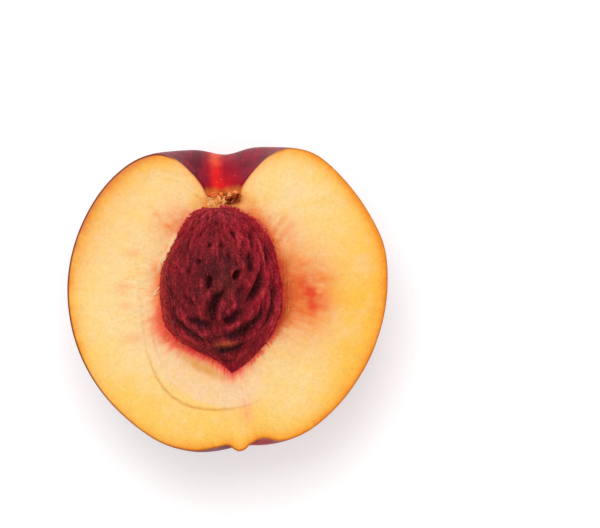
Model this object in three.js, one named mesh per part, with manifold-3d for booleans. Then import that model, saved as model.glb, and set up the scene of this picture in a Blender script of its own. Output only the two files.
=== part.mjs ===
// Half a nectarine, cut from stem to tip, lying on its rounded back with the cut face up.
// Its stone is a piece of its own and sits whole in the socket that it grew in.
// Millimetres. +Z is up and +Y points to the stem end. The origin is the middle of the
// small flat spot that the half rests on.
import * as THREE from "three";
import { mergeVertices } from "three/addons/utils/BufferGeometryUtils.js";
import Module from "manifold-3d";

// Driving dimensions of the fruit. Shapes are drawn in the fruit's frame, whose Y axis
// runs from tip to stem through the core, and whose cut face lies at Z = 0.
const DEPTH_RATIO = 0.94; // the fruit's depth, front to back, against its width
const REST_HEIGHT = 31.5; // from the cut face down to the flat spot
const REST_CENTRE = new THREE.Vector2(-0.9, 0.8); // middle of the flat spot, near the core
const BOX_SIZE = 120; // blocks that trim the fruit are wider than it is

// Outlines of the cut face, [distance from the core, height], from the stem scar down to
// the tip. The two sides of the fruit differ a little.
const LEFT_OUTLINE = [
  [0, 19.4], [2.9, 20.0], [4.3, 22.7], [6.4, 25.6], [9.6, 28.6], [14.0, 29.9],
  [19.8, 27.9], [25.8, 22.7], [30.7, 15.1], [33.6, 6.6], [34.2, -2.2], [32.6, -11.0],
  [28.8, -19.2], [23.0, -26.3], [16.2, -31.6], [9.6, -33.7], [4.8, -33.4], [2.2, -33.2],
  [0.8, -34.0], [0, -34.4],
];
const RIGHT_OUTLINE = [
  [0, 19.4], [3.3, 19.8], [4.7, 22.3], [7.2, 25.2], [10.8, 28.1], [15.4, 29.3],
  [21.0, 27.3], [26.6, 21.4], [31.0, 14.4], [33.8, 7.0], [33.9, -1.4], [32.2, -9.4],
  [28.6, -17.4], [22.9, -24.9], [16.2, -30.4], [10.0, -32.7], [5.6, -32.0], [3.0, -33.0],
  [1.4, -34.2], [0, -34.4],
];
const FRUIT_RINGS = 57;
const FRUIT_SEGMENTS = 32; // on each side of the cut

// The back of the fruit swells past the cut face's outline at both ends.
const SWELL_HEIGHT = 1.2;
const SWELL_STEM_RADIUS = 13;
const SWELL_TIP_RADIUS = 10;
const SWELL_WIDTH = 9;

// The suture is a groove down the back, deep at the stem end and faint at the waist.
const SUTURE_TURN = THREE.MathUtils.degToRad(266);
const SUTURE_WIDTH = 4.2;
const SUTURE_STEM_DEPTH = 1.5;
const SUTURE_WAIST_DEPTH = 0.2;
const SUTURE_TIP_DEPTH = 0.7;

// Outlines of the stone in the cut, [distance from its axis, height], from its blunt stem
// end down to its point.
const STONE_X = -0.3; // the stone's axis, left of the fruit's
const STONE_FLATNESS = 0.75; // thickness against width
const STONE_LEFT_OUTLINE = [
  [0, 17.6], [3.0, 17.6], [5.8, 16.8], [8.2, 14.7], [10.2, 11.6], [12.2, 8.0], [13.7, 4.2],
  [14.2, 0.2], [14.0, -4.0], [12.9, -7.6], [10.3, -10.4], [7.0, -12.5], [3.6, -14.4],
  [1.4, -16.2], [0, -17.8],
];
const STONE_RIGHT_OUTLINE = [
  [0, 17.6], [2.6, 17.1], [5.2, 15.8], [7.6, 13.8], [9.3, 11.2], [10.5, 7.8], [11.2, 4.0],
  [11.6, 0.2], [11.5, -3.6], [10.6, -7.2], [9.0, -10.1], [6.8, -12.6], [4.2, -14.9],
  [1.7, -16.8], [0, -17.8],
];
const STONE_RINGS = 66;
const STONE_FACE_SEGMENTS = 56; // the furrowed face, finer than the one in the socket
const STONE_UNDER_SEGMENTS = 20;
const SOCKET_RINGS = 26;
const SOCKET_FACE_SEGMENTS = 6;
const SOCKET_UNDER_SEGMENTS = 22;
const SOCKET_GAP = 0.4;

// Furrows and pits of the stone's upper face. Each line is seen from above, as [x, y]
// points in the fruit's frame, and is cut to its depth with soft sides of its width.
const FURROWS = [
  { width: 0.9, depth: 1.5,
    line: [[0.4, 0.7], [-1.6, -0.6], [-3.2, -2.2], [-4.0, -4.2], [-3.8, -6.2]] },
  { width: 0.8, depth: 1.0,
    line: [[-8.8, -5.0], [-7.0, -6.3], [-5.2, -6.7], [-3.8, -6.2]] },
  { width: 0.9, depth: 1.6,
    line: [[7.7, 5.6], [7.1, 3.0], [6.3, 0.4], [4.8, -1.6], [2.6, -3.8]] },
  { width: 0.95, depth: 1.4, line: [[2.4, -4.7], [0.8, -5.5], [-0.8, -5.7]] },
  { width: 0.85, depth: 1.2,
    line: [[7.8, -2.6], [6.8, -4.6], [5.6, -6.8], [3.4, -8.6], [0.4, -9.3], [-3.2, -9.2]] },
  { width: 0.75, depth: 1.0,
    line: [[9.2, 3.0], [9.5, 0.0], [9.6, -2.6], [8.4, -6.2], [6.0, -9.2]] },
  { width: 0.75, depth: 0.9,
    line: [[-12.2, -3.0], [-11.0, -5.2], [-9.3, -7.2], [-6.6, -9.4], [-4.0, -10.6]] },
  { width: 0.75, depth: 0.9,
    line: [[-4.4, -12.2], [-2.0, -12.4], [0.6, -12.2], [3.4, -10.9]] },
  { width: 0.75, depth: 0.8, line: [[5.4, 12.6], [6.3, 10.4], [6.6, 8.2]] },
  { width: 0.75, depth: 0.8, line: [[8.2, 9.6], [8.8, 7.0], [8.8, 5.0]] },
  { width: 0.8, depth: 1.1, line: [[5.7, 8.2], [5.3, 6.6], [5.1, 5.0]] },
];
const PITS = [
  { width: 0.8, depth: 1.4, line: [[-4.2, 2.8], [-4.6, 0.5]] },
  { width: 0.85, depth: 1.5, line: [[2.4, 3.3], [1.6, 2.2]] },
  { width: 0.75, depth: 1.0, line: [[1.8, 12.9], [2.2, 10.7]] },
  { width: 0.7, depth: 0.7, line: [[3.8, 10.5], [4.1, 8.8]] },
  { width: 0.7, depth: 0.7, line: [[-0.8, 10.2], [-0.9, 8.8]] },
  { width: 0.7, depth: 0.7, line: [[-3.3, 9.9], [-3.4, 9.1]] },
  { width: 0.7, depth: 0.7, line: [[-5.4, 12.2], [-5.6, 11.2]] },
  { width: 0.7, depth: 0.8, line: [[-7.8, 11.2], [-8.3, 8.8]] },
  { width: 0.75, depth: 0.8, line: [[-5.2, 6.4], [-6.4, 6.8]] },
  { width: 0.7, depth: 0.7, line: [[-8.2, 5.0], [-8.4, 4.2]] },
];
const FURROW_STEPS = 12;

const wasm = await Module();
wasm.setup();

// A smooth line through [a, b] pairs.
function curveThrough(pairs) {
  return new THREE.SplineCurve(pairs.map(([a, b]) => new THREE.Vector2(a, b)));
}

// A closed body with a pole at each end of the Y axis. place(along, turn, point) puts a
// vertex at a share of the way from top to bottom and a turn about the axis. The turn is
// 0 at -X, a quarter at +Z, a half at +X and three quarters at -Z. The upper half, to +Z,
// and the under half each have segments of their own. Each cell is split along its shorter
// diagonal, so that the edges follow the furrows.
function poledBody(rings, upperSegments, underSegments, place) {
  const segments = upperSegments + underSegments;
  const points = [];
  for (let ring = 0; ring <= rings; ring++) {
    for (let segment = 0; segment < segments; segment++) {
      const upper = segment / upperSegments;
      const under = 1 + (segment - upperSegments) / underSegments;
      const point = new THREE.Vector3();
      place(ring / rings, Math.PI * (segment < upperSegments ? upper : under), point);
      points.push(point);
    }
  }
  const index = [];
  for (let ring = 0; ring < rings; ring++) {
    for (let segment = 0; segment < segments; segment++) {
      const next = (segment + 1) % segments;
      const a = ring * segments + next;
      const b = ring * segments + segment;
      const c = b + segments;
      const d = a + segments;
      const rising = points[a].distanceTo(points[c]) < points[b].distanceTo(points[d]);
      if (ring === 0) index.push(a, c, d);
      else if (ring === rings - 1) index.push(a, b, c);
      else if (rising) index.push(a, b, c, a, c, d);
      else index.push(a, b, d, b, c, d);
    }
  }
  const body = new THREE.BufferGeometry().setFromPoints(points);
  body.setIndex(index);
  return body;
}

// Geometry to solid and back, for cutting one piece by another.
function solidFrom(geometry) {
  const bare = new THREE.BufferGeometry();
  bare.setAttribute("position", geometry.getAttribute("position"));
  bare.setIndex(geometry.index);
  const merged = mergeVertices(bare, 1e-4);
  return new wasm.Manifold(new wasm.Mesh({
    numProp: 3,
    vertProperties: merged.getAttribute("position").array,
    triVerts: new Uint32Array(merged.index.array),
  }));
}

function geometryFrom(solid) {
  const mesh = solid.getMesh();
  const geometry = new THREE.BufferGeometry();
  geometry.setAttribute("position", new THREE.BufferAttribute(mesh.vertProperties, 3));
  geometry.setIndex(new THREE.BufferAttribute(mesh.triVerts, 1));
  geometry.computeVertexNormals();
  return geometry;
}

// A bump of height 1 at the middle, falling off softly over the width.
function bump(distance, width) {
  return Math.exp(-((distance / width) ** 2));
}

// The whole fruit's skin.
const leftSide = curveThrough(LEFT_OUTLINE);
const rightSide = curveThrough(RIGHT_OUTLINE);

function sutureDepth(along) {
  const stem = SUTURE_STEM_DEPTH * bump(along - 0.25, 0.16);
  const tip = SUTURE_TIP_DEPTH * bump(along - 0.85, 0.1);
  return SUTURE_WAIST_DEPTH * Math.sin(Math.PI * along) + stem + tip;
}

function placeOnFruit(along, turn, point) {
  const rightShare = (1 - Math.cos(turn)) / 2;
  const backShare = Math.max(-Math.sin(turn), 0);
  const side = leftSide.getPoint(along).lerp(rightSide.getPoint(along), rightShare);
  const endRadius = side.y > 0 ? SWELL_STEM_RADIUS : SWELL_TIP_RADIUS;
  const swell = SWELL_HEIGHT * backShare * bump(side.x - endRadius, SWELL_WIDTH);
  side.y += Math.sign(side.y) * swell * Math.min(side.x / endRadius, 1);
  const offSuture = side.x * (turn - SUTURE_TURN);
  const fade = Math.min(side.x / SUTURE_WIDTH, 1);
  const groove = sutureDepth(along) * fade * bump(offSuture, SUTURE_WIDTH);
  side.multiplyScalar(1 - groove / Math.max(side.length(), 1));
  point.set(-side.x * Math.cos(turn), side.y, DEPTH_RATIO * side.x * Math.sin(turn));
}

// The stone. Its socket has the same form, grown outwards by the gap and left smooth.
const stoneLeft = curveThrough(STONE_LEFT_OUTLINE);
const stoneRight = curveThrough(STONE_RIGHT_OUTLINE);
const cuts = [...FURROWS, ...PITS].map(({ width, depth, line }) => ({
  width,
  depth,
  points: curveThrough(line).getPoints(FURROW_STEPS).map((p) => new THREE.Vector3(p.x, p.y, 0)),
}));
const piece = new THREE.Line3();
const seen = new THREE.Vector3();
const nearest = new THREE.Vector3();

// How deep the upper face is cut under a point, seen from above.
function cutDepth(x, y) {
  let deepest = 0;
  seen.set(x, y, 0);
  for (const { width, depth, points } of cuts) {
    for (let i = 1; i < points.length; i++) {
      piece.set(points[i - 1], points[i]).closestPointToPoint(seen, true, nearest);
      deepest = Math.max(deepest, depth * bump(nearest.distanceTo(seen), width));
    }
  }
  return deepest;
}

function placeOnStone(along, turn, point) {
  const rightShare = (1 - Math.cos(turn)) / 2;
  const side = stoneLeft.getPointAt(along).lerp(stoneRight.getPointAt(along), rightShare);
  const width = Math.max(side.x, 0);
  point.set(
    STONE_X - width * Math.cos(turn),
    side.y,
    STONE_FLATNESS * width * Math.sin(turn),
  );
}

// Moves a point of the stone outwards from its axis, by no more inwards than a third.
function pushOut(point, amount) {
  const reach = Math.hypot(point.x - STONE_X, point.z);
  const share = 1 + Math.max(amount / Math.max(reach, SOCKET_GAP), -1 / 3);
  point.x = STONE_X + (point.x - STONE_X) * share;
  point.z *= share;
}

function placeOnFurrowedStone(along, turn, point) {
  placeOnStone(along, turn, point);
  if (turn > 0 && turn < Math.PI) pushOut(point, -cutDepth(point.x, point.y));
}

function placeOnSocket(along, turn, point) {
  placeOnStone(along, turn, point);
  pushOut(point, SOCKET_GAP * Math.sin(Math.PI * along) ** 0.5);
  point.y += SOCKET_GAP * Math.cos(Math.PI * along);
}

// The fruit half: the whole fruit less its upper half, the socket and a thin slice below.
function fruitHalf() {
  const whole = solidFrom(poledBody(FRUIT_RINGS, FRUIT_SEGMENTS, FRUIT_SEGMENTS, placeOnFruit));
  const socket = solidFrom(
    poledBody(SOCKET_RINGS, SOCKET_FACE_SEGMENTS, SOCKET_UNDER_SEGMENTS, placeOnSocket));
  const block = new THREE.BoxGeometry(BOX_SIZE, BOX_SIZE, BOX_SIZE);
  const above = solidFrom(block.clone().translate(0, 0, BOX_SIZE / 2));
  const below = solidFrom(block.clone().translate(0, 0, -BOX_SIZE / 2 - REST_HEIGHT));
  const flesh = new THREE.MeshStandardMaterial({ color: 0xf4c46c, roughness: 0.45, metalness: 0 });
  const half = whole.subtract(above).subtract(below).subtract(socket);
  const mesh = new THREE.Mesh(geometryFrom(half), flesh);
  mesh.name = "fruit_half";
  return mesh;
}

// The stone, whole, with its furrowed face standing out of the cut.
function stone() {
  const body = solidFrom(
    poledBody(STONE_RINGS, STONE_FACE_SEGMENTS, STONE_UNDER_SEGMENTS, placeOnFurrowedStone));
  const woody = new THREE.MeshStandardMaterial({ color: 0x6a1a2a, roughness: 0.6, metalness: 0 });
  const mesh = new THREE.Mesh(geometryFrom(body), woody);
  mesh.name = "stone";
  return mesh;
}

const nectarine = new THREE.Group();
nectarine.add(fruitHalf(), stone());
nectarine.position.set(-REST_CENTRE.x, -REST_CENTRE.y, REST_HEIGHT);

export default nectarine;
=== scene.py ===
"""Half a nectarine with its stone, lying on its back and seen from above.

Shapes are worked out in millimetres in the fruit's own frame: x to the right, y to the stem
end and z up out of the cut face, which lies at z = 0. placed() turns them into the row's frame.
"""
import itertools
import math
import random
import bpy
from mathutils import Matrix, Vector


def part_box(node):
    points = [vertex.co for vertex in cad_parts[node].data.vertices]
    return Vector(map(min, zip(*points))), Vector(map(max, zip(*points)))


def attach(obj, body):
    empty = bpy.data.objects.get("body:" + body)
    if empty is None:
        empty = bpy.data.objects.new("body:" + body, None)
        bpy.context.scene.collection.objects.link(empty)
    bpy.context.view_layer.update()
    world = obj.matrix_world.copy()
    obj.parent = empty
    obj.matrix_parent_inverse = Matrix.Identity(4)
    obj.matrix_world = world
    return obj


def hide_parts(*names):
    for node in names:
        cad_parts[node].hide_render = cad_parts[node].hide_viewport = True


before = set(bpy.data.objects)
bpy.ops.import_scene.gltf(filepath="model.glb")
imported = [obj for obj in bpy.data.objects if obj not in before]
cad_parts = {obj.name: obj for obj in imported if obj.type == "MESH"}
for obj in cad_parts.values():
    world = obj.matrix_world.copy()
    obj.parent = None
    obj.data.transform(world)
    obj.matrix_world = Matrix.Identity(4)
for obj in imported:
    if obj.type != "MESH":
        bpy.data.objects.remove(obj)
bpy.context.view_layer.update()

from types import SimpleNamespace

import bpy
import numpy as np
from mathutils import Vector
from mathutils.kdtree import KDTree

MM = 0.001
CUT_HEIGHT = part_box("fruit_half")[1][2] / MM  # the cut face above the flat spot
REST_CENTRE = (-0.9, 0.8)  # the flat spot's middle, in the fruit's frame

# The fruit, as in its solid: outlines of the two sides of the cut face, [distance from the
# core, height], from the stem scar to the tip.
DEPTH_RATIO = 0.94
LEFT_OUTLINE = [
    [0, 19.4], [2.9, 20.0], [4.3, 22.7], [6.4, 25.6], [9.6, 28.6], [14.0, 29.9],
    [19.8, 27.9], [25.8, 22.7], [30.7, 15.1], [33.6, 6.6], [34.2, -2.2], [32.6, -11.0],
    [28.8, -19.2], [23.0, -26.3], [16.2, -31.6], [9.6, -33.7], [4.8, -33.4], [2.2, -33.2],
    [0.8, -34.0], [0, -34.4],
]
RIGHT_OUTLINE = [
    [0, 19.4], [3.3, 19.8], [4.7, 22.3], [7.2, 25.2], [10.8, 28.1], [15.4, 29.3],
    [21.0, 27.3], [26.6, 21.4], [31.0, 14.4], [33.8, 7.0], [33.9, -1.4], [32.2, -9.4],
    [28.6, -17.4], [22.9, -24.9], [16.2, -30.4], [10.0, -32.7], [5.6, -32.0], [3.0, -33.0],
    [1.4, -34.2], [0, -34.4],
]
SWELL_HEIGHT = 1.2
SWELL_STEM_RADIUS = 13
SWELL_TIP_RADIUS = 10
SWELL_WIDTH = 9
SUTURE_TURN = math.radians(266)
SUTURE_WIDTH = 4.2
SUTURE_STEM_DEPTH = 1.5
SUTURE_WAIST_DEPTH = 0.2
SUTURE_TIP_DEPTH = 0.7
RINGS = 270  # from the stem scar to the tip
SKIN_COLUMNS = 160  # round the back
FLESH_COLUMNS = 70  # from the stone to the rim
SOCKET_COLUMNS = 24
EDGE_ROUNDING = 0.22  # how far the cut edge is rounded down
EDGE_ROUNDING_WIDTH = 0.3
FINE_STEPS = np.linspace(0, 1, 1201)  # close steps along an outline

# The stone, as in its solid.
STONE_X = -0.3
STONE_FLATNESS = 0.75
STONE_LEFT_OUTLINE = [
    [0, 17.6], [3.0, 17.6], [5.8, 16.8], [8.2, 14.7], [10.2, 11.6], [12.2, 8.0], [13.7, 4.2],
    [14.2, 0.2], [14.0, -4.0], [12.9, -7.6], [10.3, -10.4], [7.0, -12.5], [3.6, -14.4],
    [1.4, -16.2], [0, -17.8],
]
STONE_RIGHT_OUTLINE = [
    [0, 17.6], [2.6, 17.1], [5.2, 15.8], [7.6, 13.8], [9.3, 11.2], [10.5, 7.8], [11.2, 4.0],
    [11.6, 0.2], [11.5, -3.6], [10.6, -7.2], [9.0, -10.1], [6.8, -12.6], [4.2, -14.9],
    [1.7, -16.8], [0, -17.8],
]
STONE_RINGS = 280
STONE_FACE_COLUMNS = 210
STONE_UNDER_COLUMNS = 80
STONE_FACE_SEED = 41  # the fibres on the face follow the same relief
STONE_UNDER_SEED = 61
SOCKET_GAP = 0.4  # under the stone
MOUTH_GAP = -0.12  # at the cut face, where the flesh grows on to the stone

# Furrows and pits of the stone's face, seen from above: (width, depth, points of the line).
FURROWS = [
    (0.95, 1.7, [[1.0, 1.2], [-1.2, -0.3], [-2.9, -1.9], [-3.9, -4.0], [-4.2, -6.2],
                 [-3.6, -7.4]]),
    (0.85, 1.2, [[-9.8, -3.8], [-8.4, -5.4], [-6.6, -6.6], [-4.6, -6.9], [-2.8, -6.2]]),
    (0.75, 1.7, [[8.0, 7.0], [7.6, 4.6], [7.0, 2.0], [5.8, -0.4], [4.0, -2.4], [2.0, -4.2]]),
    (0.9, 1.6, [[3.4, -4.0], [1.6, -5.2], [-0.4, -5.8], [-1.6, -5.6]]),
    (0.85, 1.4, [[8.6, -1.0], [7.6, -3.4], [6.4, -5.8], [4.4, -7.9], [1.6, -9.2], [-2.0, -9.6],
                 [-5.0, -8.9]]),
    (0.65, 1.1, [[9.6, 5.0], [9.9, 1.6], [9.7, -2.2], [8.6, -5.8], [6.6, -8.8], [4.4, -10.6]]),
    (0.7, 1.0, [[-13.2, -1.0], [-12.2, -3.8], [-10.6, -6.2], [-8.2, -8.4], [-5.2, -10.3],
                [-2.6, -11.2]]),
    (0.75, 1.1, [[-5.6, -11.4], [-3.0, -12.6], [0.2, -12.8], [3.2, -11.8], [5.6, -9.8]]),
    (0.6, 0.9, [[4.6, 13.8], [5.8, 11.4], [6.4, 9.0], [6.2, 7.4]]),
    (0.55, 0.9, [[7.4, 11.6], [8.6, 8.8], [9.1, 6.0], [8.8, 4.0]]),
    (0.75, 1.3, [[5.9, 8.8], [5.4, 6.8], [5.2, 4.6], [4.6, 3.2]]),
    (0.5, 0.7, [[2.8, 9.4], [3.4, 6.8], [3.8, 4.8]]),
    (0.55, 0.8, [[4.9, 1.6], [3.9, 0.2], [2.6, -1.0], [1.2, -2.2]]),
    (0.5, 0.7, [[-12.6, 3.0], [-12.4, 0.6], [-11.6, -1.8]]),
    (0.45, 0.6, [[-9.6, 1.2], [-8.6, -1.4], [-7.0, -3.2]]),
    (0.5, 0.7, [[-3.6, -14.2], [-1.0, -15.0], [1.8, -14.4]]),
]
PITS = [
    (0.5, 1.6, [[-4.1, 3.6], [-4.3, 1.8], [-4.8, 0.0]]),
    (0.55, 1.7, [[2.9, 4.3], [2.1, 2.9], [1.2, 1.6]]),
    (0.5, 1.1, [[1.6, 13.4], [2.0, 11.9], [2.3, 10.4]]),
    (0.45, 0.9, [[3.7, 11.0], [4.0, 9.6], [4.3, 8.4]]),
    (0.45, 0.9, [[-0.7, 10.5], [-0.8, 9.5], [-1.0, 8.5]]),
    (0.55, 1.0, [[-3.2, 10.3], [-3.3, 9.5], [-3.5, 8.8]]),
    (0.45, 0.9, [[-5.2, 12.6], [-5.5, 11.7], [-5.8, 11.0]]),
    (0.45, 1.0, [[-7.6, 11.6], [-8.0, 10.0], [-8.4, 8.4]]),
    (0.5, 0.9, [[-4.9, 6.0], [-5.7, 6.5], [-6.6, 7.0]]),
    (0.5, 0.9, [[-8.0, 5.4], [-8.3, 4.6], [-8.6, 3.8]]),
    (0.4, 0.8, [[-10.2, 6.4], [-10.4, 5.6], [-10.7, 4.8]]),
    (0.4, 0.7, [[-1.6, 15.2], [-1.7, 14.6], [-1.9, 13.9]]),
    (0.4, 0.7, [[-3.3, 16.3], [-3.6, 15.7], [-3.8, 15.1]]),
    (0.4, 0.7, [[-6.6, 14.2], [-7.0, 13.4], [-7.2, 12.8]]),
    (0.35, 0.6, [[0.6, 8.0], [0.4, 7.2], [0.4, 6.4]]),
]


def srgb(red, green, blue):
    """Linear colour for a red, green and blue from 0 to 255."""
    shares = np.array([red, green, blue]) / 255
    return np.where(shares <= 0.04045, shares / 12.92, ((shares + 0.055) / 1.055) ** 2.4)


# Colours of the flesh, the skin and the stone.
FLESH = srgb(251, 214, 148)
FLESH_YELLOW = srgb(253, 198, 76)
FLESH_CREAM = srgb(250, 208, 160)
FLESH_PALE = srgb(255, 228, 178)
FLESH_LINE = srgb(216, 140, 62)
FLESH_OLIVE = srgb(228, 160, 66)
RIM_ORANGE = srgb(244, 142, 30)
RIM_YELLOW = srgb(250, 172, 40)
RIM_TAN = srgb(204, 122, 84)
BLUSH_RED = srgb(226, 62, 26)
BLUSH_ORANGE = srgb(244, 132, 54)
BLUSH_PINK = srgb(250, 156, 98)
STONE_EDGE_BROWN = srgb(196, 66, 14)
FRINGE_RED = srgb(240, 44, 56)
FRINGE_ORANGE = srgb(242, 98, 50)
FRINGE_PINK = srgb(253, 124, 92)
FIBRE_TAN = srgb(244, 174, 104)
FIBRE_GOLD = srgb(246, 148, 56)
FIBRE_BROWN = srgb(190, 82, 30)
FIBRE_PALE = srgb(253, 210, 156)
HOLE_BROWN = srgb(104, 38, 18)
SKIN_EDGE = srgb(124, 48, 26)
SKIN_CRIMSON = srgb(170, 10, 42)
SKIN_BURGUNDY = srgb(108, 0, 34)
SKIN_MAUVE_SHEEN = srgb(120, 34, 56)
SKIN_BRIGHT = srgb(250, 34, 30)
SKIN_ORANGE = srgb(240, 112, 62)
STONE_MID = srgb(116, 12, 22)
# The next two are the red and the pink of the stone's fibres, and are also painted as highlights and
# glints on its ridges.
STONE_HIGH = srgb(180, 28, 45)
STONE_FUZZ_AND_GLINT = srgb(222, 82, 90)
STONE_BROWN = srgb(94, 36, 34)
STONE_RIM = srgb(226, 74, 62)
STONE_PLUM = srgb(76, 12, 26)
STONE_DEEP = srgb(34, 0, 5)


# Helpers for curves and soft masks.
def spline(points, along):
    """Points of a smooth line through the given ones, at shares of the way along it."""
    knots = np.asarray(points, float)
    last = len(knots) - 1
    place = np.clip(np.asarray(along, float), 0, 1) * last
    i = np.minimum(place.astype(int), last - 1)
    t = (place - i)[..., None]
    before, start, end, after = (knots[np.clip(i + k, 0, last)] for k in (-1, 0, 1, 2))
    leave, arrive = (end - before) / 2, (after - start) / 2
    cubic = 2 * start - 2 * end + leave + arrive
    square = -3 * start + 3 * end - 2 * leave - arrive
    return ((cubic * t + square) * t + leave) * t + start


def even_spline(points, along):
    """The same line, with the share counted by length."""
    steps = np.hypot(*np.diff(spline(points, FINE_STEPS), axis=0).T)
    length = np.concatenate([[0], np.cumsum(steps)])
    return spline(points, np.interp(along, length / length[-1], FINE_STEPS))


def bump(distance, width):
    """A soft hill of height 1 that falls off over the width."""
    return np.exp(-(distance / width) ** 2)


def rise(low, high, value):
    """0 below low, 1 above high and smooth between them."""
    share = np.clip((value - low) / (high - low), 0, 1)
    return share * share * (3 - 2 * share)


def line_distance(x, y, line):
    """Distance to a smooth line through the points, and the share of the way along it."""
    steps = 16
    knots = spline(line, np.linspace(0, 1, steps + 1))
    least = np.full(x.shape, np.inf)
    along = np.zeros(x.shape)
    for i in range(steps):
        (ax, ay), (bx, by) = knots[i], knots[i + 1]
        run = (bx - ax) ** 2 + (by - ay) ** 2
        share = np.clip(((x - ax) * (bx - ax) + (y - ay) * (by - ay)) / run, 0, 1)
        away = np.hypot(x - ax - share * (bx - ax), y - ay - share * (by - ay))
        nearer = away < least
        least = np.where(nearer, away, least)
        along = np.where(nearer, (i + share) / steps, along)
    return least, along


def spot(x, y, centre, size, turn=0.0):
    """A soft oval spot of height 1, with half-widths as given and turned by an angle."""
    dx, dy = x - centre[0], y - centre[1]
    across = dx * math.cos(turn) + dy * math.sin(turn)
    up = dy * math.cos(turn) - dx * math.sin(turn)
    return np.exp(-(across / size[0]) ** 2 - (up / size[1]) ** 2)


def noise(points, seed):
    """Smooth noise from -1 to 1 at the points, one feature to a unit."""
    cell = np.floor(points).astype(np.int64)
    part = points - cell
    part = part * part * (3 - 2 * part)
    total = np.zeros(points.shape[:-1])
    for corner in itertools.product((0, 1), repeat=3):
        i, j, k = np.moveaxis(cell + corner, -1, 0)
        mixed = (i * 73856093) ^ (j * 19349663) ^ (k * 83492791) ^ (seed * 2654435761)
        mixed = ((mixed ^ (mixed >> 13)) * 1274126177) & 0xFFFFFFFF
        mixed = ((mixed ^ (mixed >> 16)) * 2246822519) & 0xFFFFFFFF
        weight = np.prod(np.where(np.array(corner) == 1, part, 1 - part), axis=-1)
        total += weight * (((mixed >> 8) & 0xFFFF) / 32767.5 - 1)
    return total


def rough(points, seed, octaves=4):
    """Noise in several sizes, each half the one before."""
    return sum(noise(points * 2 ** i, seed + i) / 2 ** i for i in range(octaves)) / 1.5


def tinted(colour, other, share):
    """The colour moved towards another by a share at each point."""
    return colour + (other - colour) * np.clip(share, 0, 1)[..., None]


def nearest_distance(points, samples):
    """Distance from each point to the nearest of the samples."""
    tree = KDTree(len(samples))
    for i, sample in enumerate(samples):
        tree.insert(sample, i)
    tree.balance()
    flat = points.reshape(-1, 3)
    return np.array([tree.find(p)[2] for p in flat]).reshape(points.shape[:-1])


# The fruit's skin and the stone's smooth form.
def on_fruit(along, turn):
    """Skin points. The turn about the core is half a turn at +x and three quarters behind."""
    right_share = ((1 - np.cos(turn)) / 2)[..., None]
    back_share = np.maximum(-np.sin(turn), 0)
    side = (spline(LEFT_OUTLINE, along) * (1 - right_share)
            + spline(RIGHT_OUTLINE, along) * right_share)
    away, up = np.maximum(side[..., 0], 0), side[..., 1]
    end_radius = np.where(up > 0, SWELL_STEM_RADIUS, SWELL_TIP_RADIUS)
    swell = SWELL_HEIGHT * back_share * bump(away - end_radius, SWELL_WIDTH)
    up = up + np.sign(up) * swell * np.minimum(away / end_radius, 1)
    depth = SUTURE_WAIST_DEPTH * np.sin(np.pi * along)
    depth = depth + SUTURE_STEM_DEPTH * bump(along - 0.25, 0.16)
    depth = depth + SUTURE_TIP_DEPTH * bump(along - 0.85, 0.1)
    fade = np.minimum(away / SUTURE_WIDTH, 1)
    groove = depth * fade * bump(away * (turn - SUTURE_TURN), SUTURE_WIDTH)
    shrink = 1 - groove / np.maximum(np.hypot(away, up), 1)
    away, up = away * shrink, up * shrink
    return np.stack([-away * np.cos(turn), up, DEPTH_RATIO * away * np.sin(turn)], axis=-1)


def on_stone(along, turn):
    """Points of the stone without its furrows."""
    right_share = ((1 - np.cos(turn)) / 2)[..., None]
    side = (even_spline(STONE_LEFT_OUTLINE, along) * (1 - right_share)
            + even_spline(STONE_RIGHT_OUTLINE, along) * right_share)
    width = np.maximum(side[..., 0], 0)
    return np.stack([
        STONE_X - width * np.cos(turn),
        side[..., 1],
        STONE_FLATNESS * width * np.sin(turn),
    ], axis=-1)


def pushed_out(points, amount):
    """Points of the stone moved away from its axis, by no more inwards than a third."""
    reach = np.hypot(points[..., 0] - STONE_X, points[..., 2])
    share = 1 + np.maximum(amount / np.maximum(reach, SOCKET_GAP), -1 / 3)
    return np.stack([
        STONE_X + (points[..., 0] - STONE_X) * share,
        points[..., 1],
        points[..., 2] * share,
    ], axis=-1)


def on_socket(along, turn):
    """Points of the socket, which closes round the stone at the cut face."""
    gap = MOUTH_GAP + (SOCKET_GAP - MOUTH_GAP) * rise(0, 0.35, -np.sin(turn))
    points = pushed_out(on_stone(along, turn), gap * np.sqrt(np.abs(np.sin(np.pi * along))))
    points[..., 1] += gap * np.cos(np.pi * along)
    return points


# Meshes.
WELD = 1e-7  # points this near each other, in metres, become one


def placed(points):
    """Points of the fruit's frame as metres in the row's frame, none below the flat spot."""
    moved = np.asarray(points, float).reshape(-1, 3) - (*REST_CENTRE, -CUT_HEIGHT)
    moved[:, 2] = np.maximum(moved[:, 2], 0)
    return moved * MM


def grid_faces(rows, columns, first=0, flipped=False):
    """Four-sided faces between the points of a grid."""
    row, column = np.meshgrid(np.arange(rows - 1), np.arange(columns - 1), indexing="ij")
    corner = first + row * columns + column
    faces = np.stack([corner, corner + columns, corner + columns + 1, corner + 1], axis=-1)
    faces = faces.reshape(-1, 4)
    return faces[:, ::-1] if flipped else faces


def joined_grids(grids):
    """The points, colours and faces of several grids, given as (points, colours, flipped)."""
    points = np.concatenate([grid.reshape(-1, 3) for grid, _, _ in grids])
    tints = np.concatenate([tint.reshape(-1, 3) for _, tint, _ in grids])
    faces = []
    count = 0
    for grid, _, flipped in grids:
        rows, columns = grid.shape[:2]
        faces.append(grid_faces(rows, columns, count, flipped))
        count += rows * columns
    return points, tints, faces


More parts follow.
